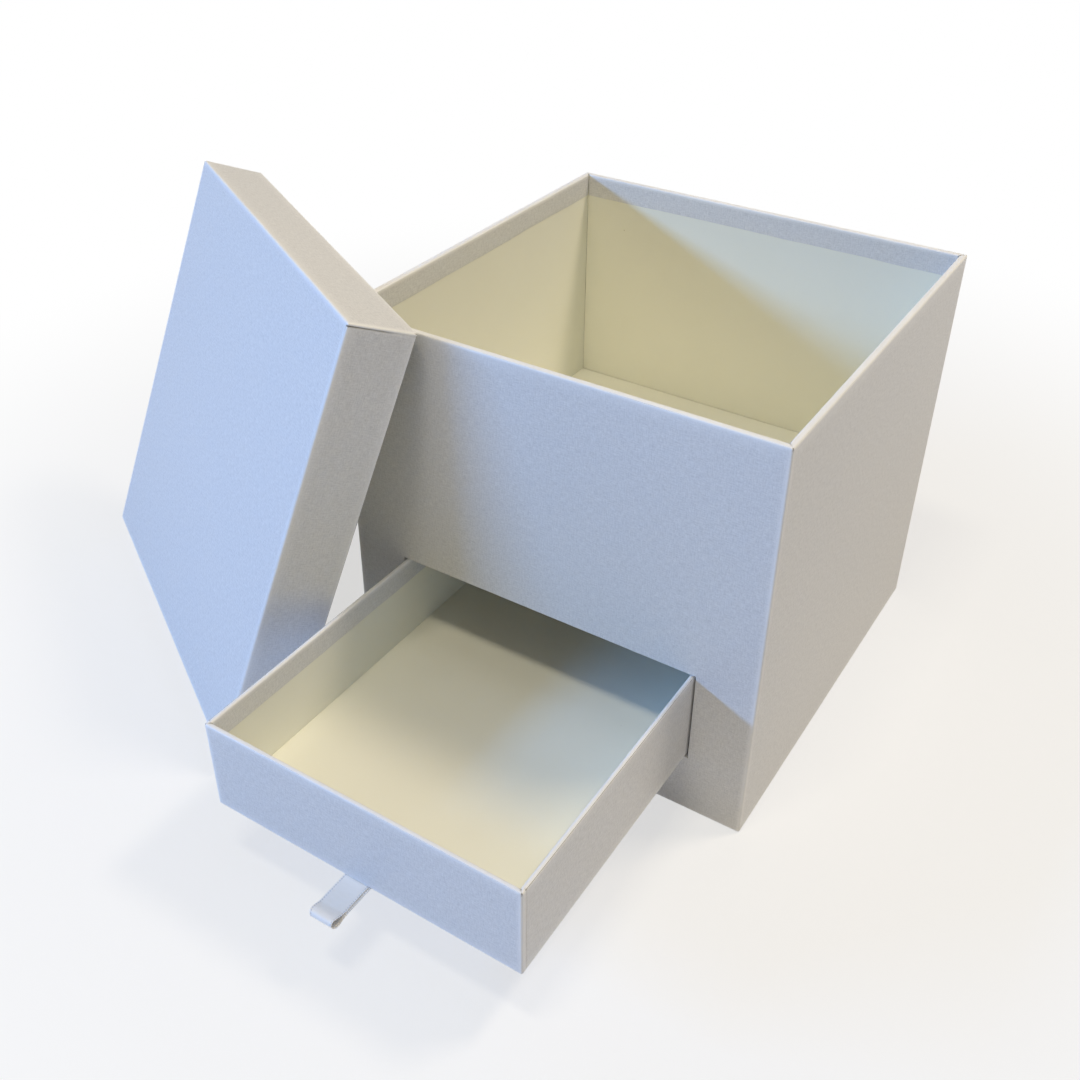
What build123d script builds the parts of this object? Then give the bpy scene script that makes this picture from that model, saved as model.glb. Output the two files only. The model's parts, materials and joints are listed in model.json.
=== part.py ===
"""Sliding drawer gift box: a square paper-covered case with an open upper compartment, a drawer
that slides out of the front below it, and a shallow lid leaning on the front left corner.

Millimetres. The origin is the middle of the case's underside, +Z up, and the drawer comes out
towards -Y. Every tray (case, drawer and lid) is described from its closed end to its rim.
"""
from build123d import *
from math import acos, asin, atan2, cos, degrees, hypot, radians, sin, tan
import os

os.makedirs("parts", exist_ok=True)

# Case, outside
case_width = 200.0
case_depth = 200.0
case_height = 191.0

# Boards and papers
case_board = 2.4
drawer_board = 1.5
drawer_base_board = 2.4
lid_board = 2.0
inner_board = 2.0
wrap_paper = 0.25
liner_paper = 0.2

# How the papers are folded and cut
edge_radius = 1.0
fold_radius = 0.2
case_turn_in = 11.0
drawer_turn_in = 11.0
lid_turn_in = 13.0
turn_under = 15.0
sheet_inset = 3.0
liner_corner_gap = 0.3

# Drawer, its window and its tunnel
drawer_width = 145.0
drawer_height = 43.5
drawer_pull = 125.0
drawer_side_gap = 0.7
drawer_top_gap = 0.6
drawer_back_gap = 0.6
runner_gap = 0.3
window_sill = 30.0
window_turn_in = 10.0

# Deck above the tunnel
deck_back_gap = 0.5
inner_fit = 0.15

# Ribbon pull
ribbon_width = 11.5
ribbon_layer = 0.25
ribbon_reach = 20.5
ribbon_tail = 14.0
ribbon_loop = 1.7
ribbon_swell = 8.0
ribbon_offset = -2.0
ribbon_side_gap = 0.3

# Lid: taken off, standing on the edge of one skirt and leaning on the case's front left corner.
# Its foot, the middle of that edge, is so far out from the corner and so far along to the left.
lid_height = 30.0
lid_clearance = 1.1
lid_turn = 30.0
lid_foot_distance = 56.6
lid_foot_shift = 62.0
lid_seat_gap = 0.3

# Walls, from the outside to the inside face
case_wall = wrap_paper + case_board + liner_paper
lid_wall = wrap_paper + lid_board + liner_paper

# Heights in the case
case_foot = wrap_paper
window_height = (
    2 * ribbon_layer + wrap_paper + runner_gap + drawer_height + drawer_top_gap
)
window_width = drawer_width + 2 * drawer_side_gap
window_top = window_sill + window_height
shelf_top = window_sill - wrap_paper
deck_bottom = window_top + wrap_paper
deck_top = deck_bottom + inner_board
base_top = case_foot + wrap_paper + case_board
inside_width = case_width - 2 * case_wall
inside_depth = case_depth - 2 * case_wall

# Drawer's place
drawer_depth = case_depth - case_wall - drawer_back_gap
drawer_bottom = window_sill + runner_gap + wrap_paper + 2 * ribbon_layer
drawer_front = -case_depth / 2 - drawer_pull
drawer_middle = drawer_front + drawer_depth / 2

# Lid's size
lid_width = case_width + 2 * (lid_clearance + lid_wall + wrap_paper)
lid_depth = case_depth + 2 * (lid_clearance + lid_wall + wrap_paper)


def lean_of_lid(reach, length, hollow, side_room, rise, distance):
    """How far the lid tips from upright, in radians, before it meets the case.

    reach and length run up the lid from its foot, to the inside and the outside of its upper
    skirt, and hollow from its rim to the inside of its top. side_room is how far the case's corner
    can reach past the rim before the front wall meets a side skirt. The corner is rise above the
    foot and distance beyond it.
    """
    if hypot(rise, distance) > reach:
        # Too short to pass over the rim: the skirt's edge rests on the upright corner
        return asin(distance / length)
    skirt_on_rim = acos(rise / reach)
    top_on_corner = atan2(distance, rise) + asin(hollow / hypot(rise, distance))
    side_on_wall = atan2(distance + side_room, rise)
    return min(skirt_on_rim, top_on_corner, side_on_wall)


# Lid's place: out from the case, along its foot, out of its top and up its slope
lid_inside_half = lid_width / 2 - lid_wall - wrap_paper
lid_lean = lean_of_lid(
    lid_depth - lid_wall - wrap_paper,
    lid_depth,
    lid_height - lid_wall - lid_seat_gap,
    (lid_inside_half - lid_seat_gap - lid_foot_shift) * tan(radians(lid_turn)),
    case_height,
    lid_foot_distance - lid_seat_gap,
)
lid_out = Vector(-sin(radians(lid_turn)), -cos(radians(lid_turn)), 0)
lid_side = Vector(cos(radians(lid_turn)), -sin(radians(lid_turn)), 0)
lid_normal = lid_out * cos(lid_lean) + Vector(0, 0, sin(lid_lean))
lid_up = lid_out * -sin(lid_lean) + Vector(0, 0, cos(lid_lean))
case_corner = Vector(-case_width / 2, -case_depth / 2, 0)
lid_foot = case_corner + lid_out * lid_foot_distance - lid_side * lid_foot_shift
lid_foot += Vector(0, 0, lid_seat_gap)
lid_middle = lid_foot + lid_up * (lid_depth / 2) + lid_normal * lid_height

case_plane = Plane.XY.offset(case_foot)
drawer_plane = Plane((0, drawer_middle, drawer_bottom))
lid_plane = Plane(lid_middle, x_dir=-lid_side, z_dir=-lid_normal)


def tray_block(plane, width, depth, height, radius):
    """A block the size of a tray, its upright edges and closed end rounded."""
    with BuildPart() as block:
        with BuildSketch(plane):
            RectangleRounded(width, depth, radius)
        extrude(amount=height)
        closed_end = block.faces().sort_by(Axis(plane.origin, plane.z_dir))[0]
        fillet(closed_end.edges(), radius)
    return block.part


def tray_wrap(plane, width, depth, height, board, turn_in):
    """The sheet round a tray: sides, closed end, rim and the strip turned in over the liner."""
    liner_face = 2 * (wrap_paper + board + liner_paper)
    mouth = liner_face + 2 * wrap_paper
    board_block = tray_block(
        plane.offset(wrap_paper),
        width - 2 * wrap_paper,
        depth - 2 * wrap_paper,
        height - 2 * wrap_paper,
        edge_radius - wrap_paper,
    )
    with BuildPart() as wrap:
        add(tray_block(plane, width, depth, height, edge_radius))
        add(board_block, mode=Mode.SUBTRACT)
        with BuildSketch(plane.offset(height)):
            Rectangle(width - liner_face, depth - liner_face)
        extrude(amount=-turn_in)
        with BuildSketch(plane.offset(height)):
            Rectangle(width - mouth, depth - mouth)
        extrude(amount=-turn_in, mode=Mode.SUBTRACT)
        rim = wrap.faces().sort_by(Axis(plane.origin, plane.z_dir))[-1]
        fillet(rim.edges(), fold_radius)
    return wrap


def turned(plane, turn):
    """The plane turned about its own normal, in degrees."""
    return plane.moved(Rotation(0, 0, turn))


def wall_board(plane, turn, span, across, board, height):
    """A tray's wall, mitred at its ends, on the side that turn (degrees) brings to the front."""
    wall_plane = turned(plane, turn)
    block = tray_block(wall_plane, span, across, height, edge_radius - wrap_paper)
    with BuildPart() as wall:
        add(block)
        # A wedge between the two mitres, reaching past the block on every other side
        with BuildSketch(wall_plane.offset(-board)):
            with BuildLine():
                Polyline(
                    (-span / 2 - board, -across / 2 - board),
                    (span / 2 + board, -across / 2 - board),
                    (span / 2 - board, -across / 2 + board),
                    (-span / 2 + board, -across / 2 + board),
                    close=True,
                )
            make_face()
        extrude(amount=height + 2 * board, mode=Mode.INTERSECT)
    return wall


def wall_liner(plane, turn, span, across, board, low, high):
    """The paper on a wall's inside face, stopping a little short of both corners."""
    length = span - 2 * (board + liner_paper + liner_corner_gap)
    face = -across / 2 + board + liner_paper / 2
    with BuildPart() as liner:
        with BuildSketch(turned(plane.offset(low), turn)):
            with Locations((0, face)):
                Rectangle(length, liner_paper)
        extrude(amount=high - low)
    return liner


def flat_panel(plane, width, depth, thickness):
    """A flat board or sheet lying on a plane."""
    with BuildPart() as panel:
        with BuildSketch(plane):
            Rectangle(width, depth)
        extrude(amount=thickness)
    return panel


def finish(piece, name):
    """Name a finished piece and write it out."""
    piece.part.label = name
    export_step(piece.part, f"parts/{name}.step")


SIDES = {"front": 0, "right": 90, "back": 180, "left": 270}

# ---- Case ----

case_tray_height = case_height - case_foot
case_board_plane = case_plane.offset(wrap_paper)
case_board_width = case_width - 2 * wrap_paper
case_board_depth = case_depth - 2 * wrap_paper
case_board_height = case_tray_height - 2 * wrap_paper

# The window's face, looking in from the front, its middle at the middle of the opening
window_plane = Plane(
    (0, -case_depth / 2, (window_sill + window_top) / 2), x_dir=(1, 0, 0), z_dir=(0, -1, 0)
)


def cut_window(piece, margin):
    """The piece with the drawer's window cut through it, margin wider on every side."""
    with BuildPart() as cut:
        add(piece.part)
        with BuildSketch(window_plane):
            Rectangle(window_width + 2 * margin, window_height + 2 * margin)
        extrude(amount=-case_wall, mode=Mode.SUBTRACT)
    return cut


def standing_strip(middle, width, depth, low, high):
    """A strip of board standing on edge, its middle at (x, y)."""
    with BuildPart() as strip:
        with BuildSketch(Plane.XY.offset(low)):
            with Locations(middle):
                Rectangle(width, depth)
        extrude(amount=high - low)
    return strip


# Walls and their liners
for side, turn in SIDES.items():
    facing = side in ("front", "back")
    span = case_board_width if facing else case_board_depth
    across = case_board_depth if facing else case_board_width
    panel = wall_board(case_board_plane, turn, span, across, case_board, case_board_height)
    liner = wall_liner(
        case_board_plane, turn, span, across, case_board, case_board, case_board_height
    )
    if side == "front":
        panel = cut_window(panel, wrap_paper)
        liner = cut_window(liner, wrap_paper)
    finish(panel, f"case_{side}_panel")
    finish(liner, f"case_{side}_liner")

# Bottom board, between the walls
finish(
    flat_panel(
        case_board_plane,
        case_board_width - 2 * case_board,
        case_board_depth - 2 * case_board,
        case_board,
    ),
    "case_base_panel",
)

# The wrap: open under the bottom, and turned through the window into the tunnel's mouth
with BuildPart() as case_wrap:
    add(tray_wrap(case_plane, case_width, case_depth, case_tray_height, case_board, case_turn_in).part)
    with BuildSketch(case_plane):
        Rectangle(case_width - 2 * turn_under, case_depth - 2 * turn_under)
    extrude(amount=wrap_paper, mode=Mode.SUBTRACT)
    with BuildSketch(window_plane):
        Rectangle(window_width + 2 * wrap_paper, window_height + 2 * wrap_paper)
    extrude(amount=-(case_wall + window_turn_in))
    with BuildSketch(window_plane):
        Rectangle(window_width, window_height)
    extrude(amount=-(case_wall + window_turn_in), mode=Mode.SUBTRACT)
finish(case_wrap, "case_wrap")

# The sheet that hides the turned ends of the wrap: the case stands on it
finish(
    flat_panel(Plane.XY, case_width - 2 * sheet_inset, case_depth - 2 * sheet_inset, case_foot),
    "case_base_sheet",
)

# Ring of risers and the shelf on it, the drawer's runway
shelf_bottom = shelf_top - inner_board
inner_width = inside_width - 2 * inner_fit
inner_depth = inside_depth - 2 * inner_fit
riser_x = (inner_width - inner_board) / 2
riser_y = (inner_depth - inner_board) / 2
for side, direction in (("left", -1), ("right", 1)):
    finish(
        standing_strip((direction * riser_x, 0), inner_board, inner_depth, base_top, shelf_bottom),
        f"riser_{side}",
    )
for side, direction in (("front", -1), ("back", 1)):
    finish(
        standing_strip(
            (0, direction * riser_y), inner_width - 2 * inner_board, inner_board, base_top, shelf_bottom
        ),
        f"riser_{side}",
    )
finish(
    flat_panel(Plane.XY.offset(shelf_bottom), inner_width, inner_depth, inner_board), "shelf_panel"
)

# Guides beside the drawer, flush with the paper in the tunnel's mouth
guide_x = window_width / 2 + wrap_paper + inner_board / 2
for side, direction in (("left", -1), ("right", 1)):
    finish(
        standing_strip((direction * guide_x, 0), inner_board, inner_depth, shelf_top, deck_bottom),
        f"guide_{side}",
    )

# Deck, tight to the front and sides, with an open line along the back wall
deck_depth = inside_depth - inner_fit - deck_back_gap
deck_middle = (inner_fit - deck_back_gap) / 2
finish(
    flat_panel(Plane((0, deck_middle, deck_bottom)), inner_width, deck_depth, inner_board),
    "deck_panel",
)
finish(
    flat_panel(Plane((0, deck_middle, deck_top)), inner_width, deck_depth, liner_paper),
    "deck_liner",
)

# ---- Drawer ----

drawer_board_plane = drawer_plane.offset(wrap_paper)
drawer_board_width = drawer_width - 2 * wrap_paper
drawer_board_depth = drawer_depth - 2 * wrap_paper
drawer_board_height = drawer_height - 2 * wrap_paper
drawer_inside_width = drawer_board_width - 2 * drawer_board
drawer_inside_depth = drawer_board_depth - 2 * drawer_board

for side, turn in SIDES.items():
    facing = side in ("front", "back")
    span = drawer_board_width if facing else drawer_board_depth
    across = drawer_board_depth if facing else drawer_board_width
    finish(
        wall_board(drawer_board_plane, turn, span, across, drawer_board, drawer_board_height),
        f"drawer_{side}_panel",
    )
    finish(
        wall_liner(
            drawer_board_plane, turn, span, across, drawer_board, drawer_base_board, drawer_board_height
        ),
        f"drawer_{side}_liner",
    )

finish(
    flat_panel(drawer_board_plane, drawer_inside_width, drawer_inside_depth, drawer_base_board),
    "drawer_base_panel",
)
finish(
    flat_panel(
        drawer_board_plane.offset(drawer_base_board),
        drawer_inside_width - 2 * liner_paper,
        drawer_inside_depth - 2 * liner_paper,
        liner_paper,
    ),
    "drawer_floor_liner",
)

with BuildPart() as drawer_wrap:
    add(
        tray_wrap(
            drawer_plane, drawer_width, drawer_depth, drawer_height, drawer_board, drawer_turn_in
        ).part
    )
    with BuildSketch(drawer_plane):
        Rectangle(drawer_width - 2 * turn_under, drawer_depth - 2 * turn_under)
    extrude(amount=wrap_paper, mode=Mode.SUBTRACT)
finish(drawer_wrap, "drawer_wrap")

# The sheet under the drawer, raised over the ribbon's glued tail and open towards the front
ribbon_thickness = 2 * ribbon_layer
sheet_front = drawer_front + sheet_inset
channel_width = ribbon_width + 2 * ribbon_side_gap
channel_length = ribbon_tail + ribbon_side_gap - sheet_inset
with BuildPart() as drawer_base_sheet:
    with BuildSketch(drawer_plane):
        Rectangle(drawer_width - 2 * sheet_inset, drawer_depth - 2 * sheet_inset)
    extrude(amount=-wrap_paper)
    with BuildSketch(drawer_plane):
        with Locations((ribbon_offset, sheet_front - drawer_middle)):
            Rectangle(
                channel_width + 2 * wrap_paper,
                channel_length + wrap_paper,
                align=(Align.CENTER, Align.MIN),
            )
    extrude(amount=-(ribbon_thickness + wrap_paper))
    with BuildSketch(drawer_plane):
        with Locations((ribbon_offset, sheet_front - drawer_middle)):
            Rectangle(channel_width, channel_length, align=(Align.CENTER, Align.MIN))
    extrude(amount=-ribbon_thickness, mode=Mode.SUBTRACT)
finish(drawer_base_sheet, "drawer_base_sheet")

# Ribbon: two layers under the drawer's front edge, opening into a soft loop where it folds
ribbon_middle = drawer_bottom - ribbon_layer
tail_y = drawer_front + ribbon_tail
loop_y = drawer_front - ribbon_reach + ribbon_loop / 2
swell_y = loop_y + ribbon_swell
loop_outside = ribbon_loop / 2
loop_inside = loop_outside - ribbon_layer
with BuildPart() as ribbon_pull:
    with BuildSketch(Plane.YZ.offset(ribbon_offset - ribbon_width / 2)):
        with BuildLine():
            Polyline(
                (loop_y, ribbon_middle + loop_outside),
                (swell_y, ribbon_middle + ribbon_layer),
                (tail_y, ribbon_middle + ribbon_layer),
                (tail_y, ribbon_middle - ribbon_layer),
                (swell_y, ribbon_middle - ribbon_layer),
                (loop_y, ribbon_middle - loop_outside),
            )
            ThreePointArc(
                (loop_y, ribbon_middle - loop_outside),
                (loop_y - loop_outside, ribbon_middle),
                (loop_y, ribbon_middle + loop_outside),
            )
        make_face()
        with BuildLine():
            Polyline(
                (loop_y, ribbon_middle + loop_inside),
                (swell_y, ribbon_middle),
                (loop_y, ribbon_middle - loop_inside),
            )
            ThreePointArc(
                (loop_y, ribbon_middle - loop_inside),
                (loop_y - loop_inside, ribbon_middle),
                (loop_y, ribbon_middle + loop_inside),
            )
        make_face(mode=Mode.SUBTRACT)
    extrude(amount=ribbon_width)
finish(ribbon_pull, "ribbon_pull")

# ---- Lid ----

lid_board_plane = lid_plane.offset(wrap_paper)
lid_board_width = lid_width - 2 * wrap_paper
lid_board_depth = lid_depth - 2 * wrap_paper
lid_board_height = lid_height - 2 * wrap_paper
lid_inside_width = lid_board_width - 2 * lid_board
lid_inside_depth = lid_board_depth - 2 * lid_board

# The front skirt is the one that stands on the table, the back one is hooked over the case
for side, turn in SIDES.items():
    facing = side in ("front", "back")
    span = lid_board_width if facing else lid_board_depth
    across = lid_board_depth if facing else lid_board_width
    finish(
        wall_board(lid_board_plane, turn, span, across, lid_board, lid_board_height),
        f"lid_{side}_skirt",
    )
    finish(
        wall_liner(lid_board_plane, turn, span, across, lid_board, lid_board, lid_board_height),
        f"lid_{side}_liner",
    )

finish(
    flat_panel(lid_board_plane, lid_inside_width, lid_inside_depth, lid_board), "lid_top_panel"
)
finish(
    flat_panel(
        lid_board_plane.offset(lid_board),
        lid_inside_width - 2 * liner_paper,
        lid_inside_depth - 2 * liner_paper,
        liner_paper,
    ),
    "lid_top_liner",
)
finish(
    tray_wrap(lid_plane, lid_width, lid_depth, lid_height, lid_board, lid_turn_in), "lid_wrap"
)

print(f"case {case_width} x {case_depth} x {case_height} mm, drawer {drawer_width} x {drawer_depth}")
print(f"lid {lid_width} x {lid_depth} x {lid_height} mm, leaning back {degrees(lid_lean)} degrees")
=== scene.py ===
"""The looks of a sliding drawer gift box: pearl wrapping paper folded over boards, ivory lining
paper, raw board in the drawer's tunnel and a satin ribbon pull.

Lengths are metres, written as so many MM. A tray (case, drawer or lid) is described in its own
frame: its closed end lies at z = 0, its rim at z = height, and its front is towards -y.
"""

import json
import math

import bmesh
import bpy
from mathutils import Matrix, Vector, noise


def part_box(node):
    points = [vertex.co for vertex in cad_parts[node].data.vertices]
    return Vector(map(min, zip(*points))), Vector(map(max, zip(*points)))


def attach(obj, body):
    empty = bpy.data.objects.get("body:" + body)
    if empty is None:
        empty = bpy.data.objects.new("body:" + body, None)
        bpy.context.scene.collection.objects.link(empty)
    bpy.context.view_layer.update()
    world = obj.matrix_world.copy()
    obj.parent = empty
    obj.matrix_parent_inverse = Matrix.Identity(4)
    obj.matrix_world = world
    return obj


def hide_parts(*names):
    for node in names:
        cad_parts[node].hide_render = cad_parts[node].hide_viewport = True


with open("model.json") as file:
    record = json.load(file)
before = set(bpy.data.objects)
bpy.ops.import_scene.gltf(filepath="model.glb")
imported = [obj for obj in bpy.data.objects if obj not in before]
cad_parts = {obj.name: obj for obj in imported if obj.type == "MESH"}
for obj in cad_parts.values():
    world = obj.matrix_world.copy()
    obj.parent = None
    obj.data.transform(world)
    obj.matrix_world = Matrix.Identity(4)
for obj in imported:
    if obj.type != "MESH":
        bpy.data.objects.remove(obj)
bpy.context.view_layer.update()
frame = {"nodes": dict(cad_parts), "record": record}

MM = 0.001
TINY = 1e-6
QUARTER = math.pi / 2

# Papers and how they are folded
WRAP = 0.25 * MM
SHEET = 0.12 * MM
CORNER_RADIUS = 1.0 * MM
RIM_RADIUS = 0.8 * MM
WINDOW_RADIUS = 0.45 * MM
ARC_STEPS = 4

# How far from a fold the paper's face lies flat again, and how far it dips there
EDGE_SOFTNESS = 0.9 * MM
PRESSED_WIDTH = 2.4 * MM
PRESSED_DEPTH = 0.1 * MM

# How far a face lies below the CAD's: with no second layer under it, by its gentle swell, in an
# open slit or mitre, at a cut end, and between the neighbours' tabs
UNDER_LAYER = 0.1 * MM
SWELL = 0.05 * MM
CREASE = 0.18 * MM
FEATHER = 0.15 * MM
TAB_STEP = 0.06 * MM

# ---- Small helpers ----


def ripple(point, size, seed=0.0):
    """Smooth noise from -1 to 1 whose waves are about size wide."""
    return noise.noise(point / size + Vector((seed, seed * 1.7, -seed)))


def smooth(start, end, value):
    """0 up to start, 1 from end on, and an S between them; start may be the larger one."""
    t = min(max((value - start) / (end - start), 0.0), 1.0)
    return t * t * (3 - 2 * t)


def steps(low, high, spacing):
    """Even steps from low to high, both included, no further apart than spacing."""
    count = max(1, math.ceil((high - low) / spacing - TINY))
    return [low + (high - low) * i / count for i in range(count + 1)]


# Distances of a wall's outer columns from its ends, in MM: closer together under a lap
SOFT_ENDS = (0, 0.9, 1.9, 3, 4.5, 7, 10, 12.5)
LAPPED_ENDS = (0, 0.3, 0.6, 0.9, 1.2, 1.5, 1.8, 2.1, 2.5, 3, 4.5, 7, 10, 12.5)
MARK_CLEARANCE = 0.4 * MM


def place_along(half, spacing, marks=(), ends_mm=SOFT_ENDS):
    """Columns along a wall from -half to half, close together near its ends and at the marks."""
    ends = [m * MM for m in ends_mm]
    inner = steps(-half + ends[-1], half - ends[-1], spacing)
    places = [-half + e for e in ends[:-1]] + inner + [half - e for e in reversed(ends[:-1])]
    places = [p for p in places if all(abs(p - m) > MARK_CLEARANCE for m in marks)]
    return sorted(places + list(marks))


def pressed(distance):
    """How far a face is pressed down at a distance from a fold: (drop, share of the drop). The share
    also paints the paper paler there, as wear and painted highlight.
    """
    share = max(1 - distance / PRESSED_WIDTH, 0.0) ** 2
    return PRESSED_DEPTH * share, share


def new_object(name, mesh, material):
    """An object of a bmesh, which is used up."""
    data = bpy.data.meshes.new(name)
    mesh.to_mesh(data)
    mesh.free()
    data.materials.append(material)
    piece = bpy.data.objects.new(name, data)
    bpy.context.scene.collection.objects.link(piece)
    return piece


def thicken(piece, thickness, offset):
    """Give a sheet its thickness, on both sides of its face (offset 0) or behind it (-1)."""
    solidify = piece.modifiers.new("thickness", "SOLIDIFY")
    solidify.thickness = thickness
    solidify.offset = offset
    return solidify


def thicken_paper(piece, thickness):
    """Give a paper its thickness behind the face that shows, and shade its flat parts flat."""
    thicken(piece, thickness, -1).use_even_offset = True
    shading = piece.modifiers.new("shading", "WEIGHTED_NORMAL")
    shading.mode = "FACE_AREA"


# ---- Places, from the frame ----


def local_box(node, to_world):
    """A node's lowest and highest corners in a tray's own frame."""
    to_local = to_world.inverted()
    points = [to_local @ v.co for v in frame["nodes"][node].data.vertices]
    low = Vector(min(p[i] for p in points) for i in range(3))
    high = Vector(max(p[i] for p in points) for i in range(3))
    return low, high


def panel_normal(node):
    """The direction that most of a board's surface faces, one way or the other."""
    areas = {}
    for face in frame["nodes"][node].data.polygons:
        key = tuple(round(abs(c), 3) for c in face.normal)
        areas.setdefault(key, [0.0, face.normal.copy()])
        areas[key][0] += face.area
    return max(areas.values(), key=lambda entry: entry[0])[1]


def middle(node):
    low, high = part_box(node)
    return (low + high) / 2


class Tray:
    """A tray's frame and outside size, measured on its wrap."""

    def __init__(self, body, wrap, rotation):
        self.body = body
        low, high = local_box(wrap, rotation)
        self.width, self.depth, self.height = high - low
        origin = Vector(((low.x + high.x) / 2, (low.y + high.y) / 2, low.z))
        self.matrix = rotation @ Matrix.Translation(origin)


upright = Matrix.Identity(4)
lid_z = panel_normal("lid_top_panel")
if lid_z.dot(middle("lid_wrap") - middle("lid_top_panel")) < 0:
    lid_z = -lid_z
lid_x = lid_z.cross(Vector((0, 0, 1))).normalized()
lid_y = lid_z.cross(lid_x)
if lid_y.z < 0:
    lid_x, lid_y = -lid_x, -lid_y
leaning = Matrix((lid_x, lid_y, lid_z)).transposed().to_4x4()

case = Tray("case", "case_wrap", upright)
drawer = Tray("drawer", "drawer_wrap", upright)
lid = Tray("lid", "lid_wrap", leaning)

# ---- Materials ----

PEARL_DARK, PEARL_LIGHT = (0.65, 0.65, 0.655), (0.845, 0.845, 0.845)
# Paler paper on folds, rims and pressed edges, partly wear and partly painted highlight; and painted
# shade for slits, open mitres and inner corners
PEARL_WEAR_AND_HIGHLIGHT, PEARL_SHADED = (0.93, 0.93, 0.93), (0.34, 0.31, 0.27)
IVORY_DARK, IVORY_LIGHT = (0.90, 0.89, 0.765), (0.945, 0.94, 0.835)
IVORY_SPECK = (0.42, 0.36, 0.26)
BOARD_DARK, BOARD_LIGHT = (0.20, 0.18, 0.15), (0.42, 0.39, 0.34)
# The satin is tinted warm: besides its own white, part of that tone is a painted reflection of the
# warm ceiling lamps
SATIN_DARK, SATIN_LIGHT = (0.95, 0.93, 0.89), (1.0, 0.98, 0.945)
SATIN_STITCH = (0.60, 0.61, 0.64)
WHITE = (1.0, 1.0, 1.0)


def new_material(name, **inputs):
    """A material with its Principled shader's own sockets set."""
    material = bpy.data.materials.new(name)
    material.use_nodes = True
    nodes = material.node_tree.nodes
    shader = nodes["Principled BSDF"]
    for socket, value in inputs.items():
        shader.inputs[socket.replace("_", " ")].default_value = value
    return material, nodes, material.node_tree.links, shader


def add_noise(nodes, links, vector, size, stretch=(1, 1, 1), detail=2.0, roughness=0.5):
    """Noise whose grains are about size across, drawn out along the axes by stretch."""
    mapping = nodes.new("ShaderNodeMapping")
    mapping.inputs["Scale"].default_value = [1 / (size * s) for s in stretch]
    links.new(vector, mapping.inputs["Vector"])
    grain = nodes.new("ShaderNodeTexNoise")
    grain.inputs["Scale"].default_value = 1.0
    grain.inputs["Detail"].default_value = detail
    grain.inputs["Roughness"].default_value = roughness
    links.new(mapping.outputs["Vector"], grain.inputs["Vector"])
    return grain.outputs["Fac"]


def add_math(nodes, links, operation, first, second):
    """A math node; either value may be a number or a socket."""
    node = nodes.new("ShaderNodeMath")
    node.operation = operation
    for socket, value in zip(node.inputs, (first, second)):
        if isinstance(value, (int, float)):
            socket.default_value = value
        else:
            links.new(value, socket)
    return node.outputs["Value"]


def add_mix(nodes, links, factor, first, second, blend="MIX"):
    """A colour mix; either colour may be a tuple or a socket."""
    node = nodes.new("ShaderNodeMix")
    node.data_type = "RGBA"
    node.blend_type = blend
    for name, value in (("Factor", factor), ("A", first), ("B", second)):
        kind = "VALUE" if name == "Factor" else "RGBA"
        socket = next(s for s in node.inputs if s.name == name and s.type == kind)
        if isinstance(value, (int, float)):
            socket.default_value = value
        elif isinstance(value, tuple):
            socket.default_value = (*value, 1)
        else:
            links.new(value, socket)
    return next(s for s in node.outputs if s.type == "RGBA")


def add_range(nodes, links, value, before, after=(0.0, 1.0), curve="LINEAR"):
    """A socket's value, moved from the range before to the range after."""
    node = nodes.new("ShaderNodeMapRange")
    node.interpolation_type = curve
    node.inputs["From Min"].default_value, node.inputs["From Max"].default_value = before
    node.inputs["To Min"].default_value, node.inputs["To Max"].default_value = after
    links.new(value, node.inputs["Value"])
    return node.outputs["Result"]


def add_bump(nodes, links, height, distance, strength, shader):
    bump = nodes.new("ShaderNodeBump")
    bump.inputs["Distance"].default_value = distance
    bump.inputs["Strength"].default_value = strength
    links.new(height, bump.inputs["Height"])
    links.new(bump.outputs["Normal"], shader.inputs["Normal"])


def attribute(nodes, name):
    """A value that the mesh's vertices carry."""
    node = nodes.new("ShaderNodeAttribute")
    node.attribute_name = name
    return node.outputs["Fac"]


def coordinates(nodes, kind):
    return nodes.new("ShaderNodeTexCoord").outputs[kind]


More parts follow.
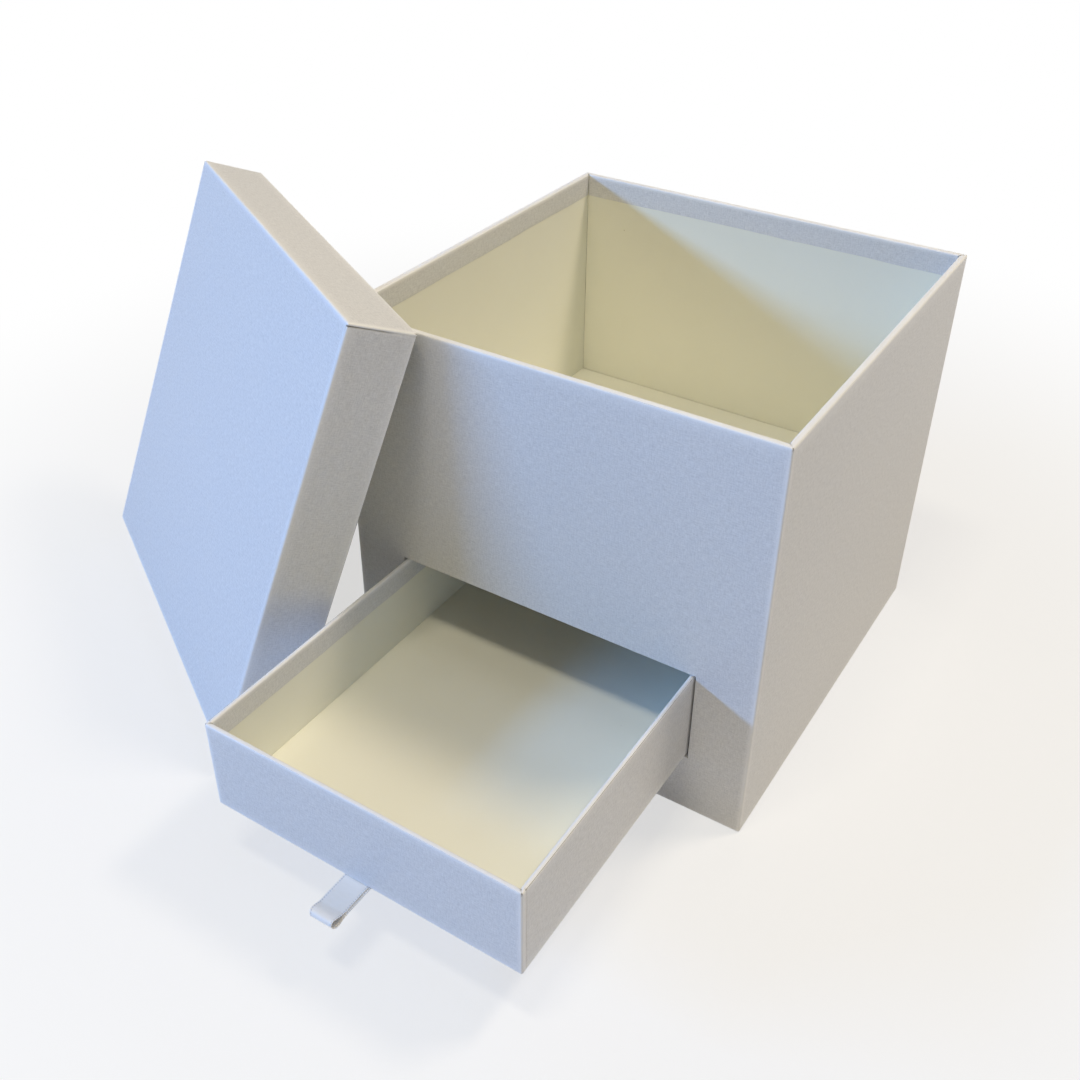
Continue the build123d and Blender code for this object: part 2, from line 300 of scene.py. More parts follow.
def pearl_paper(kind):
    """Pearl white wrapping paper: a fine pressed grain of crossing threads under a satin coat.
    kind is the texture coordinate that its grain follows."""
    material, nodes, links, shader = new_material(
        f"pearl_paper_{kind.lower()}",
        Metallic=0.05,
        Specular_IOR_Level=0.5,
        Coat_Weight=0.12,
        Coat_Roughness=0.28,
        Sheen_Weight=0.08,
        Sheen_Roughness=0.4,
        Sheen_Tint=(0.80, 0.88, 1.0, 1),
    )
    vector = coordinates(nodes, kind)
    thread_width = 0.45 * MM
    thread_length = 7
    along = add_noise(nodes, links, vector, thread_width, (thread_length, 1, 1))
    across = add_noise(nodes, links, vector, thread_width, (1, thread_length, 1))
    threads = add_math(nodes, links, "ADD", along, across)
    grains = add_noise(nodes, links, vector, 0.8 * MM, detail=3.0, roughness=0.6)
    weave = add_math(nodes, links, "ADD", threads, grains)
    weave_range = (1.1, 1.9)
    clouds = add_noise(nodes, links, vector, 45 * MM, detail=3.0)
    fine = add_range(nodes, links, weave, weave_range)
    paper = add_mix(nodes, links, fine, PEARL_DARK, PEARL_LIGHT)
    tone = add_mix(nodes, links, clouds, (0.97, 0.975, 0.985), (1.0, 0.995, 0.99))
    paper = add_mix(nodes, links, 1.0, paper, tone, "MULTIPLY")
    # Folds, rims and pressed edges are painted paler, partly as wear and partly as painted highlight
    patches = add_math(nodes, links, "ADD", clouds, 0.3)
    wear_and_highlight = add_math(nodes, links, "MULTIPLY", attribute(nodes, "fold"), patches)
    paper = add_mix(nodes, links, wear_and_highlight, paper, PEARL_WEAR_AND_HIGHLIGHT)
    # Painted shade in slits, open mitres and inner corners
    paper = add_mix(nodes, links, attribute(nodes, "crease_shade"), paper, PEARL_SHADED)
    links.new(paper, shader.inputs["Base Color"])
    gloss = add_range(nodes, links, weave, weave_range, (0.56, 0.42))
    links.new(gloss, shader.inputs["Roughness"])
    add_bump(nodes, links, weave, 0.03 * MM, 0.65, shader)
    return material


def ivory_paper(kind):
    """Plain matt lining paper with soft fibres and a few specks."""
    material, nodes, links, shader = new_material(
        f"ivory_paper_{kind.lower()}", Roughness=0.72, Specular_IOR_Level=0.3
    )
    vector = coordinates(nodes, kind)
    fibres = add_noise(nodes, links, vector, 0.35 * MM, (2, 1, 1), detail=4.0, roughness=0.65)
    clouds = add_noise(nodes, links, vector, 30 * MM, detail=2.0)
    paper = add_mix(nodes, links, fibres, IVORY_DARK, IVORY_LIGHT)
    tone = add_mix(nodes, links, clouds, (0.97, 0.97, 0.96), WHITE)
    paper = add_mix(nodes, links, 1.0, paper, tone, "MULTIPLY")
    dots = nodes.new("ShaderNodeTexVoronoi")
    dots.inputs["Scale"].default_value = 1 / (22 * MM)
    links.new(vector, dots.inputs["Vector"])
    speck = add_range(nodes, links, dots.outputs["Distance"], (0.012, 0.022), (0.55, 0.0))
    paper = add_mix(nodes, links, speck, paper, IVORY_SPECK)
    links.new(paper, shader.inputs["Base Color"])
    add_bump(nodes, links, fibres, 0.03 * MM, 0.3, shader)
    return material


def grey_board():
    """Raw grey board: recycled fibres, lighter and darker flecks."""
    material, nodes, links, shader = new_material(
        "greyboard", Roughness=0.9, Specular_IOR_Level=0.2
    )
    vector = coordinates(nodes, "Object")
    fibres = add_noise(nodes, links, vector, 0.6 * MM, (1, 1, 0.35), detail=5.0, roughness=0.7)
    flecks = add_noise(nodes, links, vector, 2.5 * MM, detail=3.0)
    board = add_mix(nodes, links, fibres, BOARD_DARK, BOARD_LIGHT)
    shade = add_mix(nodes, links, flecks, (0.85, 0.84, 0.82), WHITE)
    board = add_mix(nodes, links, 1.0, board, shade, "MULTIPLY")
    links.new(board, shader.inputs["Base Color"])
    add_bump(nodes, links, fibres, 0.12 * MM, 0.5, shader)
    return material


def satin():
    """White single-face satin: long floats across, a glossy face and stitches at its edges."""
    material, nodes, links, shader = new_material(
        "satin_ribbon",
        Roughness=0.34,
        Specular_IOR_Level=0.9,
        Sheen_Weight=0.5,
        Sheen_Roughness=0.3,
        Sheen_Tint=(0.85, 0.90, 1.0, 1),
    )
    vector = coordinates(nodes, "UV")
    floats = add_noise(nodes, links, vector, 0.16 * MM, (1, 14, 1), detail=2.0)
    slubs = add_noise(nodes, links, vector, 1.2 * MM, (3, 1, 1), detail=2.0)
    weave = add_math(nodes, links, "ADD", floats, slubs)
    tone = add_range(nodes, links, weave, (0.6, 1.4))
    # The cloth's warm tint is partly a painted reflection of the warm ceiling lamps
    cloth = add_mix(nodes, links, tone, SATIN_DARK, SATIN_LIGHT)
    cloth = add_mix(nodes, links, attribute(nodes, "selvedge"), cloth, SATIN_STITCH)
    links.new(cloth, shader.inputs["Base Color"])
    add_bump(nodes, links, weave, 0.04 * MM, 0.45, shader)
    return material


PEARL = pearl_paper("UV")
IVORY = ivory_paper("UV")
SATIN = satin()
CAD_FINISH = {
    "pearl_paper": pearl_paper("Object"),
    "ivory_paper": ivory_paper("Object"),
    "greyboard": grey_board(),
    "satin_ribbon": SATIN,
}
for part in frame["record"]["subparts"]:
    node = frame["nodes"][part["node"]]
    node.data.materials.clear()
    node.data.materials.append(CAD_FINISH[part["material_slot"]])
    for face in node.data.polygons:
        face.material_index = 0


# ---- Wrapping paper ----

SIDE_TURNS = (("front", 0), ("right", 90), ("back", 180), ("left", 270))
OUTER_PARTS = ("edge", "wall", "fold")
RIM_PARTS = ("fold", "rim", "inner_fold")
INSIDE_PARTS = ("inner_fold", "band")


def turn_flat(x, y, degrees):
    """A flat point turned about the tray's middle by a multiple of 90 degrees."""
    c, s = round(math.cos(math.radians(degrees))), round(math.sin(math.radians(degrees)))
    return Vector((x * c - y * s, x * s + y * c, 0))


class Sample:
    """A place on the perimeter: on a straight side, or on the arc round the corner after it.

    side is its name, None on an arc. turn is the side's direction, x the place along it from its
    middle, half its half length and out its distance from the tray's middle. base lies
    CORNER_RADIUS inside the outline and normal leads outwards. u is the length of paper as far
    as here, and step the place's number on the arc.
    """

    def __init__(self, side, turn, x, half, out, u, angle=0.0, step=0):
        self.side, self.turn = side, turn
        self.x, self.half, self.out = x, half, out
        self.base = turn_flat(x, -out, turn)
        self.normal = turn_flat(math.sin(angle), -math.cos(angle), turn)
        self.u = u
        self.step = step

    def to_end(self):
        """How far the side's end is."""
        return self.half - abs(self.x)


def perimeter(tray, spacing, marks, lapped):
    """Samples once round the tray, side by side, each side from its left end to its right."""
    samples, u = [], 0.0
    for name, turn in SIDE_TURNS:
        along_x = name in ("front", "back")
        across, deep = (tray.width, tray.depth) if along_x else (tray.depth, tray.width)
        half = across / 2 - CORNER_RADIUS
        out = deep / 2 - CORNER_RADIUS
        ends = LAPPED_ENDS if name in lapped else SOFT_ENDS
        for x in place_along(half, spacing, marks.get(name, ()), ends):
            samples.append(Sample(name, turn, x, half, out, u + x + half))
        u += 2 * half
        for step in range(1, ARC_STEPS):
            angle = QUARTER * step / ARC_STEPS
            arc_u = u + CORNER_RADIUS * angle
            samples.append(Sample(None, turn, half, half, out, arc_u, angle, step))
        u += CORNER_RADIUS * QUARTER
    return samples


class Row:
    """A place on the paper's way over a wall: d outside the outline, z high, with its normal's
    shares outwards and up, the part of the wrap, and v, the length of paper as far as here."""

    def __init__(self, d, z, out, up, part, v=0.0):
        self.d, self.z = d, z
        self.out, self.up = out, up
        self.part = part
        self.v = v


def arc(d, z, radius, start, part):
    """Rows on a quarter turn round the centre (d, z), from start radians above outwards."""
    rows = []
    for step in range(ARC_STEPS + 1):
        angle = start + QUARTER * step / ARC_STEPS
        out, up = math.cos(angle), math.sin(angle)
        rows.append(Row(d + radius * out, z + radius * up, out, up, part))
    return rows


FOLD_CLEARANCE = 0.3 * MM
BAND_SPACING = 1.6 * MM
HIDDEN_SPACING = 3 * MM


def wall_rows(tray, wall, turn_in, turn_under, heights):
    """The paper's way over a wall, from the bottom edge or the end of what is turned under it
    to the end of the turn-in."""
    top = tray.height
    rows = arc(-CORNER_RADIUS, CORNER_RADIUS, CORNER_RADIUS, -QUARTER, "edge")
    for z in heights:
        if CORNER_RADIUS + FOLD_CLEARANCE < z < top - RIM_RADIUS - FOLD_CLEARANCE:
            rows.append(Row(0, z, 1, 0, "wall"))
    rows += arc(-RIM_RADIUS, top - RIM_RADIUS, RIM_RADIUS, 0, "fold")
    rows.append(Row(-wall / 2, top, 0, 1, "rim"))
    rows += arc(RIM_RADIUS - wall, top - RIM_RADIUS, RIM_RADIUS, QUARTER, "inner_fold")
    for down in steps(0, turn_in - RIM_RADIUS, BAND_SPACING)[1:]:
        rows.append(Row(-wall, top - RIM_RADIUS - down, -1, 0, "band"))
    for before, row in zip(rows, rows[1:]):
        row.v = before.v + math.hypot(row.d - before.d, row.z - before.z)
    under = []
    if turn_under:
        for way in steps(0, turn_under - CORNER_RADIUS, HIDDEN_SPACING)[:-1]:
            under.append(Row(way - turn_under, 0, 0, -1, "under", way - turn_under))
    return under + rows


class Window:
    """The opening in the case's front, with half its width and the heights of its edges, and the
    line round it where the paper starts to turn inwards, WINDOW_RADIUS further out."""

    def __init__(self, half, low, high):
        self.half, self.low, self.high = half, low, high
        self.cut_half = half + WINDOW_RADIUS
        self.cuts = (low - WINDOW_RADIUS, high + WINDOW_RADIUS)

    def spans(self, x):
        return abs(x) <= self.cut_half + TINY

    def reaches(self, z):
        return self.cuts[0] - TINY <= z <= self.cuts[1] + TINY


# How near a row may come to the window's edge, and details of the seam and the corners
CUT_CLEARANCE = 1.5 * MM
SEAM_STEP = 0.15 * MM
SEAM_MARK = 0.5 * MM
STRIP_GAP = 0.2 * MM
SLIT_NEAR, SLIT_FAR = 0.4 * MM, 1.0 * MM
SLIT_CHANGE = (14 * MM, 24 * MM)
# How strongly painted shade darkens an open mitre and an inner corner
MITRE_SHADE, INNER_CORNER_SHADE = 0.8, 0.4

# The turn-in's cut end, and the tabs under it
CUT_WANDER = 0.35 * MM
CUT_ZONE, FEATHER_ZONE = 2 * MM, 1.7 * MM
TAB_REACH = 6 * MM
TAB_SLOPE = 0.25
TAB_EDGE = 0.8 * MM

# The flaps turned through the window
FLAP_REACH = 10 * MM
FLAP_GAP = 0.15 * MM
FLAP_TAPER = 0.08
# How pale the flaps are painted at the window's edge, as wear and painted highlight, and how far that
# reaches
FLAP_WEAR_AND_HIGHLIGHT = 0.7
FLAP_WEAR_AND_HIGHLIGHT_REACH = 1 * MM

# Waves of the ripples: the swell, a lap's reach, a slit's opening and a cut end
SWELL_WAVE, LAP_WAVE, SLIT_WAVE, CUT_WAVE = 28 * MM, 9 * MM, 5 * MM, 17 * MM


class Wrap:
    """The wrapping paper of a tray, in the tray's frame.

    lapped are the sides whose ends lie under their neighbours' paper, which reaches lap round
    the corner. slit_open says how wide open its edge stands low down and near the rim, from 0
    to 1, and so how dark the painted shade in the slit is. turn_under is how far the paper
    reaches under an open bottom, 0 for a closed end.
    window is the opening in the front, seam the place on the back where the strip's end lies
    over its beginning.
    """

    def __init__(self, tray, wall, turn_in, spacing, seed, lapped=(), lap=0.0,
                 slit_open=(0.0, 0.0), turn_under=0.0, window=None, seam=None):
        self.tray, self.wall, self.turn_in, self.seed = tray, wall, turn_in, seed
        self.lapped, self.lap, self.slit_open = lapped, lap, slit_open
        self.window, self.seam = window, seam
        self.mesh = bmesh.new()
        self.uv = self.mesh.loops.layers.uv.new("UVMap")
        # Per vertex: how much paler, as wear and painted highlight, and how much painted shade
        self.fold = self.mesh.verts.layers.float.new("fold")
        self.crease_shade = self.mesh.verts.layers.float.new("crease_shade")
        self.flat = {}
        marks = {}
        heights = steps(
            CORNER_RADIUS + EDGE_SOFTNESS, tray.height - RIM_RADIUS - EDGE_SOFTNESS, spacing
        )
        if window:
            marks["front"] = (-window.cut_half, window.cut_half)
            heights = [z for z in heights if min(abs(z - c) for c in window.cuts) > CUT_CLEARANCE]
            heights = sorted(heights + list(window.cuts))
        if seam is not None:
            marks["back"] = (seam, seam + SEAM_STEP, seam + SEAM_MARK)
        self.samples = perimeter(tray, spacing, marks, lapped)
        self.rows = wall_rows(tray, wall, turn_in, turn_under, heights)
        self.cover_walls()
        if not turn_under:
            self.close_end()

    def add(self, point, uv, fold=0.0, crease_shade=0.0):
        vertex = self.mesh.verts.new(point)
        vertex[self.fold] = fold
        vertex[self.crease_shade] = crease_shade
        self.flat[vertex] = uv
        return vertex

    def face(self, corners, round_seam=None):
        """A face, unless its corners fall together. round_seam is the UV length of a full turn."""
        kept = []
        for corner in corners:
            if all((corner.co - k.co).length > TINY / 10 for k in kept):
                kept.append(corner)
        if len(kept) < 3:
            return
        made = self.mesh.faces.new(kept)
        made.smooth = True
        widest = max(self.flat[v][0] for v in kept)
        for loop in made.loops:
            u, v = self.flat[loop.vert]
            if round_seam and widest - u > round_seam / 2:
                u += round_seam
            loop[self.uv].uv = (u, v)

    def swell(self, point):
        return SWELL * (0.5 + 0.5 * ripple(point, SWELL_WAVE, self.seed))

    def ring_point(self, sample, d, part):
        """A point d outside the tray's outline, at the sample's place along it."""
        radius = CORNER_RADIUS + d
        if radius >= 0:
            return sample.base + sample.normal * radius
        if sample.side is None:
            return sample.base + turn_flat(1, -1, sample.turn) * radius
        gap = STRIP_GAP if part in INSIDE_PARTS else 0.0
        scale = (sample.half + radius - gap) / sample.half
        return turn_flat(sample.x * scale, -sample.out, sample.turn) + sample.normal * radius

    def lap_at(self, sample, point, z):
        """The drop and painted shade at the ends of a side. The neighbours' papers lie on top as far
        as the lap, and end in a lifted edge, with painted shade in the slit under it."""
        lap = self.lap * (1 + 0.25 * ripple(point, LAP_WAVE, self.seed + 5))
        beyond = sample.to_end() - lap
        low_down, near_rim = self.slit_open
        opening = low_down + (near_rim - low_down) * smooth(*SLIT_CHANGE, z)
        opening *= 0.7 + 0.4 * ripple(point, SLIT_WAVE, self.seed + 9)
        if beyond < 0:
            return 0.0, 0.0
        slit = 1 - smooth(SLIT_NEAR, SLIT_FAR, beyond)
        lowered = UNDER_LAYER + slit * (CREASE - UNDER_LAYER)
        return lowered * (0.4 + 0.6 * opening), slit * opening

    def cut_end(self, sample, row, point):
        """The turn-in's end, cut by hand: moves the point up or down and returns the drop."""
        end = self.tray.height - self.turn_in
        wander = CUT_WANDER * ripple(point, CUT_WAVE, self.seed + 3)
        point.z += smooth(end + CUT_ZONE, end, row.z) * wander
        drop = FEATHER * smooth(end + FEATHER_ZONE, end, row.z)
        if sample.side in ("front", "back"):
            tab = TAB_REACH + (self.tray.height - row.z) * TAB_SLOPE
            drop += TAB_STEP * smooth(0, TAB_EDGE, sample.to_end() - tab)
        return drop

    def vertex(self, sample, row):
        part = row.part
        base = self.ring_point(sample, row.d, part)
        point = Vector((base.x, base.y, row.z))
        normal = Vector((sample.normal.x * row.out, sample.normal.y * row.out, row.up))
        drop, crease_shade = self.swell(point), 0.0
        # The rim and its folds are painted paler: wear, and painted highlight where they catch the
        # light
        edge_wear_and_highlight = 1.0 if part in RIM_PARTS else 0.0
        if part in OUTER_PARTS and sample.side in self.lapped:
            lap_drop, crease_shade = self.lap_at(sample, point, row.z)
            drop += lap_drop
        if self.seam is not None and sample.side == "back" and part in OUTER_PARTS:
            drop += UNDER_LAYER * (1 - smooth(0.0, SEAM_STEP, sample.x - self.seam))
        # The mitre over the rim, which opens a little at every corner, with painted shade in it; the
        # inner corners get a lighter painted shade. Further in than the arc's centre all samples of a
        # corner fall together in one point
        if part in RIM_PARTS and sample.to_end() <= TINY:
            if CORNER_RADIUS + row.d <= 0:
                crease_shade = INNER_CORNER_SHADE
            elif sample.step == ARC_STEPS // 2:
                drop += CREASE
                crease_shade = MITRE_SHADE
        if part == "band":
            drop += self.cut_end(sample, row, point)
        if part in ("wall", "edge"):
            to_rim = self.tray.height - RIM_RADIUS - row.z
            to_fold = min(max(row.z - CORNER_RADIUS, 0.0), to_rim)
            # Near the folds the face is pressed down and painted paler: wear and painted highlight
            pressed_drop, edge_wear_and_highlight = pressed(min(sample.to_end(), to_fold))
            drop += pressed_drop
        return self.add(point - normal * drop, (sample.u, row.v), edge_wear_and_highlight, crease_shade)

    def left_open(self, here, there, row, above):
        """Whether the paper has no face between two samples and two rows: inside the corners,
        where its strips stop short of each other, and in the window."""
        if row.part in INSIDE_PARTS and None in (here.side, there.side):
            return True
        if not self.window or row.part != "wall" or not here.side == there.side == "front":
            return False
        spans, reaches = self.window.spans, self.window.reaches
        return spans(here.x) and spans(there.x) and reaches(row.z) and reaches(above.z)

    def cover_walls(self):
        grid = [[self.vertex(sample, row) for row in self.rows] for sample in self.samples]
        around = self.samples[-1].u + CORNER_RADIUS * QUARTER / ARC_STEPS
        for i, here in enumerate(self.samples):
            following = (i + 1) % len(self.samples)
            a, b = grid[i], grid[following]
            for j, (row, above) in enumerate(zip(self.rows, self.rows[1:])):
                if not self.left_open(here, self.samples[following], row, above):
                    self.face((a[j], b[j], b[j + 1], a[j + 1]), around)
        if self.window:
            self.fold_window(grid)

    def fold_window(self, grid):
        """The four flaps of paper that are turned through the window and line its edges."""
        spans, reaches = self.window.spans, self.window.reaches
        across = [i for i, s in enumerate(self.samples) if s.side == "front" and spans(s.x)]
        up = [j for j, row in enumerate(self.rows) if row.part == "wall" and reaches(row.z)]
        flaps = (
            ([grid[i][up[0]] for i in across], Vector((0, 0, 1)), False),
            ([grid[i][up[-1]] for i in across], Vector((0, 0, -1)), True),
            ([grid[across[0]][j] for j in up], Vector((1, 0, 0)), True),
            ([grid[across[-1]][j] for j in up], Vector((-1, 0, 0)), False),
        )
        turns = []
        for step in range(1, ARC_STEPS + 1):
            angle = QUARTER * step / ARC_STEPS
            turns.append((WINDOW_RADIUS * math.sin(angle), WINDOW_RADIUS * (1 - math.cos(angle))))
        reach = self.wall - WRAP + FLAP_REACH
        for way in steps(0, reach - WINDOW_RADIUS, HIDDEN_SPACING)[1:]:
            turns.append((WINDOW_RADIUS, WINDOW_RADIUS + way))
        for border, towards, flip in flaps:
            lines = [border] + [self.flap_line(border, towards, *turn) for turn in turns]
            for first, second in zip(lines, lines[1:]):
                for k in range(len(border) - 1):
                    corners = (first[k], first[k + 1], second[k + 1], second[k])
                    self.face(corners[::-1] if flip else corners)

    def flap_line(self, border, towards, moved, back):
        """A flap's vertices, moved into the window and back from its border, with the two end
        ones drawn in so that the flaps don't meet."""
        centre = (border[0].co + border[-1].co) / 2
        line = []
        for k, start in enumerate(border):
            point = start.co + towards * moved + Vector((0, back, 0))
            if k in (0, len(border) - 1):
                away = (centre - start.co).normalized()
                point += away * (moved + FLAP_GAP + FLAP_TAPER * back)
            u, v = self.flat[start]
            # Paler near the window's edge: wear and painted highlight
            line.append(self.add(point, (u, v + back), FLAP_WEAR_AND_HIGHLIGHT if back < FLAP_WEAR_AND_HIGHLIGHT_REACH else 0.0))
        return line

    def close_end(self):
        """The flat end of a tray that is closed, drawn from one side's columns to the other's."""
        columns = [s.x for s in self.samples if s.side == "front"]
        lines = [s.x for s in self.samples if s.side == "right"]

        def vertex(x, y):
            drop = self.swell(Vector((x, y, 0)))
            # Near its edges the end is pressed down and painted paler: wear and painted highlight
            pressed_drop, edge_wear_and_highlight = pressed(min(abs(columns[0]) - abs(x), abs(lines[0]) - abs(y)))
            return self.add(Vector((x, y, drop + pressed_drop)), (x, y), edge_wear_and_highlight)

        cells = [[vertex(x, y) for y in lines] for x in columns]
        for i in range(len(columns) - 1):
            for j in range(len(lines) - 1):
                corners = (cells[i][j], cells[i][j + 1], cells[i + 1][j + 1], cells[i + 1][j])
                self.face(corners)

    def finish(self, name, replaced):
        bmesh.ops.remove_doubles(self.mesh, verts=self.mesh.verts, dist=TINY)
        unused = [v for v in self.mesh.verts if not v.link_faces]
        bmesh.ops.delete(self.mesh, geom=unused, context="VERTS")
        self.mesh.transform(self.tray.matrix)
        piece = new_object(name, self.mesh, PEARL)
        thicken_paper(piece, SHEET)
        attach(piece, self.tray.body)
        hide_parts(replaced)


def wall_of(tray, liner):
    """How thick a tray's wall is with its papers, from its front liner."""
    _, high = local_box(liner, tray.matrix)
    return high.y + tray.depth / 2 + WRAP


CASE_TURN_IN = 11 * MM
DRAWER_TURN_IN = 11 * MM
LID_TURN_IN = 13 * MM
TURN_UNDER = 15 * MM
SEAM_INSET = 14 * MM

# The window: between the guides, from the shelf to the deck, less the paper that lines it
_, shelf_high = local_box("shelf_panel", case.matrix)
deck_low, _ = local_box("deck_panel", case.matrix)
guide_low, _ = local_box("guide_right", case.matrix)
window = Window(guide_low.x - WRAP, shelf_high.z + WRAP, deck_low.z - WRAP)

Wrap(
    case, wall_of(case, "case_front_liner"), CASE_TURN_IN, spacing=5 * MM, seed=1.0,
    turn_under=TURN_UNDER, window=window, seam=-case.width / 2 + SEAM_INSET,
).finish("case_wrap_paper", "case_wrap")
Wrap(
    drawer, wall_of(drawer, "drawer_front_liner"), DRAWER_TURN_IN, spacing=4 * MM, seed=2.0,
    lapped=("left", "right"), lap=1.4 * MM, slit_open=(0.35, 0.35), turn_under=TURN_UNDER,
).finish("drawer_wrap_paper", "drawer_wrap")
Wrap(
    lid, wall_of(lid, "lid_front_liner"), LID_TURN_IN, spacing=4 * MM, seed=3.0,
    lapped=("left", "right"), lap=0.1 * MM, slit_open=(1.0, 0.25),
).finish("lid_wrap_paper", "lid_wrap")

# ---- Lining paper ----

LINING = 0.16 * MM
LINING_SPACING = 8 * MM
LINING_DIP = 0.04 * MM
LINING_WANDER = 0.06 * MM
LINING_REACH = 0.26 * MM
LINING_EDGE = 0.1 * MM
DIP_WAVE, WANDER_WAVE = 25 * MM, 14 * MM
UP = 2


def lining(node, tray, seed, hole=None):
    """A sheet of lining paper cut by hand: its edges wander a little, and its ends are pushed
    into the corners round it. It faces the middle of the tray's mouth. hole is a box
    (x, x, z, z) cut out of it."""
    mouth = Vector((0, 0, tray.height))
    low, high = local_box(node, tray.matrix)
    size, centre = high - low, (low + high) / 2
    thin = min(range(3), key=lambda i: size[i])
    first, second = [i for i in range(3) if i != thin]
    towards = 1 if mouth[thin] > low[thin] else -1
    face = high[thin] if towards > 0 else low[thin]
    marks_first, marks_second = (hole[:2], hole[2:]) if hole else ((), ())
    us = place_along(size[first] / 2, LINING_SPACING, [m - centre[first] for m in marks_first])
    vs = place_along(size[second] / 2, LINING_SPACING, [m - centre[second] for m in marks_second])
    mesh = bmesh.new()
    uv = mesh.loops.layers.uv.new("UVMap")

    def vertex(u, v):
        point = Vector((0, 0, 0))
        point[first] = centre[first] + u
        point[second] = centre[second] + v
        dip = LINING_DIP * (0.5 + 0.5 * ripple(point, DIP_WAVE, seed))
        point[thin] = face - towards * dip
        for axis, value in ((first, u), (second, v)):
            if size[axis] / 2 - abs(value) < LINING_EDGE:
                wander = LINING_WANDER * ripple(point, WANDER_WAVE, seed + axis + 2)
                reach = -LINING_WANDER if axis == UP else LINING_REACH
                point[axis] += math.copysign(1, value) * (reach + wander)
        return mesh.verts.new(point)

    grid = [[vertex(u, v) for v in vs] for u in us]
    for i in range(len(us) - 1):
        for j in range(len(vs) - 1):
            corners = (grid[i][j], grid[i + 1][j], grid[i + 1][j + 1], grid[i][j + 1])
            inside = sum((c.co for c in corners), Vector()) / 4
            if hole and hole[0] < inside[first] < hole[1] and hole[2] < inside[second] < hole[3]:
                continue
            made = mesh.faces.new(corners)
            made.smooth = True
            made.normal_update()
            if made.normal[thin] * towards < 0:
                made.normal_flip()
            for loop in made.loops:
                loop[uv].uv = (loop.vert.co[first], loop.vert.co[second])
    mesh.transform(tray.matrix)
    piece = new_object(f"{node}_paper", mesh, IVORY)
    thicken_paper(piece, LINING)
    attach(piece, tray.body)
    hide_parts(node)


window_hole = (
    -window.half - WRAP, window.half + WRAP, window.low - WRAP, window.high + WRAP
)
LININGS = {
    case: ("case_front_liner", "case_right_liner", "case_back_liner", "case_left_liner", "deck_liner"),
    drawer: (
        "drawer_front_liner", "drawer_right_liner", "drawer_back_liner", "drawer_left_liner",
        "drawer_floor_liner",
    ),
    lid: ("lid_front_liner", "lid_right_liner", "lid_back_liner", "lid_left_liner", "lid_top_liner"),
}
FIRST_LINING_SEED = 10.0
for tray, sheets in LININGS.items():
    for number, sheet in enumerate(sheets):
        cut = window_hole if sheet == "case_front_liner" else None
        lining(sheet, tray, FIRST_LINING_SEED + number, cut)

# ---- Ribbon pull ----

RIBBON_THICKNESS = 0.22 * MM
STITCH_PITCH = 1.1 * MM
STITCH_ROW = 0.55 * MM
STITCH_DEPTH = 0.06 * MM
STITCH_SPREAD = (0.1 * MM, 0.4 * MM)
PICOT_REACH = 0.14 * MM
PLAIN_COLUMNS = 6
STITCH_COLUMNS = (1.6, 1.3, 1.0, 0.7, 0.4, 0)
RIBBON_EDGE = 0.1 * MM
TIP_PINCH = 0.7 * MM
TIP_LENGTH = 4 * MM
LOOP_RADIUS = 1.5 * MM
LOOP_LENGTH = 6 * MM
LOOP_STEPS = 20
LAYER_HEIGHT = 0.13 * MM
LAYER_SHIFT = 0.9 * MM
LAYER_SPACING = 0.25 * MM

# How far the ribbon's free part reaches from its tip, how far it takes to lie loose, and its
# creases
FREE_REACH = 16 * MM
FREE_CHANGE = 4 * MM
RIBBON_CREASE = 0.09 * MM
RIBBON_WAVE = 3.2 * MM
RIBBON_SEED = 7.0


def ribbon_path(low, high):
    """The ribbon's way seen from the side: along the top layer, round the full loop and back.
    Each entry is (y, height from the ribbon's middle, share of the turn to the lower layer)."""
    loop = LOOP_RADIUS
    layer = LAYER_HEIGHT
    tip = low.y + loop + RIBBON_THICKNESS / 2
    top = [
        (tip + y, layer + (loop - layer) * (1 - smooth(0, LOOP_LENGTH, y)), 0.0)
        for y in reversed(steps(0, high.y - tip, LAYER_SPACING))
    ]
    bend = [
        (tip - loop * math.cos(a), loop * math.sin(a), 0.5 - a / math.pi)
        for a in (QUARTER - math.pi * k / LOOP_STEPS for k in range(1, LOOP_STEPS))
    ]
    return top + bend + [(y, -z, 1.0) for y, z, _ in reversed(top)]


def ribbon_columns(half_width):
    """Places across the ribbon, close together round the row of stitches at each edge, where
    STITCH_COLUMNS counts from the edge in units of STITCH_ROW."""
    inner = half_width - 2 * STITCH_ROW
    right = [inner * k / PLAIN_COLUMNS for k in range(PLAIN_COLUMNS + 1)]
    right += [half_width - STITCH_ROW * k for k in STITCH_COLUMNS]
    return [-x for x in reversed(right[1:])] + right


